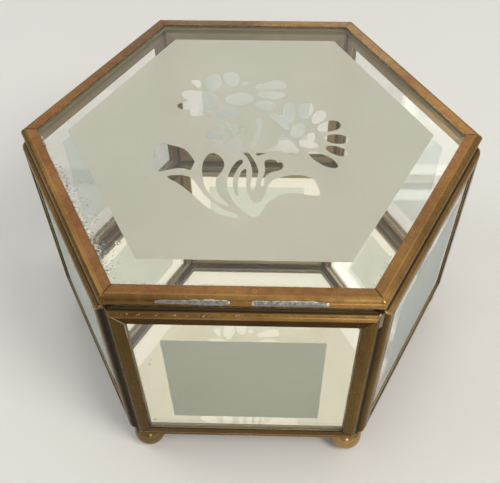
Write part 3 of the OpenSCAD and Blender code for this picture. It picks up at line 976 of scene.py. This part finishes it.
in_one("lid_glass_crumbs", flecks(crumbs, (0.07, 0.2), 5), crumb_look, "lid")
crumbs = []
for side in ("front_left", "front_right"):
    edge, normal = -1 if side == "front_left" else 1, directions(side)[1]
    for _ in range(70):
        spot = on_side(side, rng.gauss(0, 9) - 8 * edge, SIDE_FACE, 75.5 + abs(rng.gauss(0, 2.5))) / MM
        crumbs.append((spot, normal))
for _ in range(26):
    spot = on_side("front", rng.uniform(-31, 31), SIDE_FACE, 19.9 + rng.expovariate(1.6)) / MM
    crumbs.append((spot, Vector((0, -1, 0))))
in_one("side_glass_crumbs", flecks(crumbs, (0.06, 0.24), 6), crumb_look, "body")


def oval(wide, deep, count):
    turns = (k * math.tau / count for k in range(count))
    return [(DROP_X + wide * math.cos(t), DROP_Y + deep * math.sin(t)) for t in turns]


drop_rim = flat_plate("dried_drop", oval(0.8, 0.7, 9), LID_FACE, 92.87, [oval(0.55, 0.45, 7)], True)
drop_rim.data.materials.append(crumb_look)
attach(drop_rim, "lid")


# Spatter: small drops of solder in a row on the front's top came, and a pale burr down the lip of its left
# upright. A small dark chip mark lies low on the left of the front pane.
TOP_BACK_UP, LIP_OUT = 86.35, 65.88
burr_look, tree, surface = material("pale burr")
worn = fade(tree, grain(tree, millimetres(tree), 1.1), 0.35, 0.65)
principled(tree, surface, {
    "Base Color": tint(tree, worn, srgb(176, 164, 132), srgb(214, 208, 190)),
    "Metallic": fade(tree, worn, 0.0, 1.0, 0.5, 0.2),
    "Roughness": 0.38,
})
beads = []
for _ in range(26):
    angle = math.radians(rng.gauss(52, 6))
    normal = Vector((0, -math.sin(angle), math.cos(angle)))
    x = max(-33, min(33, rng.gauss(-16, 12)))
    y, z = -PANE_OUT - BACK_RADIUS * math.sin(angle), TOP_BACK_UP + BACK_RADIUS * math.cos(angle)
    beads.append((Vector((x, y, z)), normal))
in_one("solder_spatter", flecks(beads, (0.08, 0.22), 8), burr_look, "body")
burr = [
    (-31.85, 84.0, 0.05),
    (-31.74, 83.5, 0.1),
    (-31.72, 82.0, 0.09),
    (-31.73, 80.0, 0.08),
    (-31.74, 78.0, 0.08),
    (-31.76, 75.5, 0.05),
]
ring, points, faces = 6, [], []
for along, up, radius in burr:
    for k in range(ring):
        a = math.tau * k / ring
        points.append(on_side("front", along + radius * math.cos(a), LIP_OUT + radius * math.sin(a), up))
for i in range(len(burr) - 1):
    for k in range(ring):
        a, b = i * ring + k, i * ring + (k + 1) % ring
        faces.append((a, b, b + ring, a + ring))
last = range(ring * (len(burr) - 1), ring * len(burr))
faces.extend([tuple(range(ring)), tuple(reversed(last))])
in_one("mitre_burr", [(points, faces)], burr_look, "body")


def front_pane(u, v):
    """A slanting line low on the left of the front pane."""
    return Vector((-29.7 + u, -SIDE_FACE, 25.4 + v + 0.3 * u)), Vector((0, -1, 0))


in_one("pane_chip", [smear(1.3, 0.34, 0.06, front_pane, 2.0, 14, 5)], old_solder, "body")


# Lid solder: two long beads laid along the front of the lid frame, on its round back, in bright grey solder.
# They are ragged, each wider towards one end, with a painted highlight along their top edge and at their
# ends, and a fainter one along their lower edge.
BEAD_TILT = math.radians(27)


def lid_back(middle):
    """The front round back of the lid's frame, with u counted from the middle of a bead."""
    def at(u, v):
        angle = BEAD_TILT + v / BACK_RADIUS
        y, z = -LID_BACK_OUT - BACK_RADIUS * math.cos(angle), LID_UP + BACK_RADIUS * math.sin(angle)
        return Vector((middle + u, y, z)), Vector((0, -math.cos(angle), math.sin(angle)))
    return at


bead_look, tree, surface = material("lid bead solder")
place = millimetres(tree)
x, y, z = parts(tree, place)
metal = add(tree, "Group", (place, 0.0), node_tree=tin).outputs
rise, out = minus(tree, z, LID_UP), minus(tree, -LID_BACK_OUT, y)
round_back = maths(tree, "ARCTAN2", rise, out)
above = times(tree, minus(tree, round_back, BEAD_TILT), BACK_RADIUS)
from_centre = maths(tree, "ABSOLUTE", plus(tree, x, 0.15))
from_middle = gap(tree, from_centre, 12.75)
# Painted highlight: pale colour along the top and bottom edges of each bead and at its ends.
rim = maths(tree, "MAXIMUM", fade(tree, above, 0.4, 0.8, 0.0, 0.7), fade(tree, above, -0.75, -0.95, 0.0, 0.3))
rim = times(tree, rim, fade(tree, grain(tree, place, 0.9), 0.36, 0.52))
rim = maths(tree, "MAXIMUM", rim, fade(tree, from_middle, 9.2, 9.7, 0.0, 0.8))
principled(tree, surface, {
    "Base Color": tint(tree, rim, metal["Color"], srgb(226, 224, 216)),
    "Metallic": metal["Metallic"],
    "Roughness": metal["Roughness"],
    "Normal": relief(tree, metal["Height"], 0.03),
})
for name, middle, length, seed, swell in (
    ("lid_bead_left", -12.9, 19.6, 1.7, lambda u: 0.72 + 0.34 / (1 + math.exp(-9 * (u - 0.05)))),
    ("lid_bead_right", 12.6, 20.2, 4.3, lambda u: 0.98 - 0.12 * u),
):
    shape = smear(length, 1.8, 0.3, lid_back(middle), seed, 90, 11, swell, 0.9, 0.3)
    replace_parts(in_one(name, [shape], bead_look, "lid"), "lid_solder")
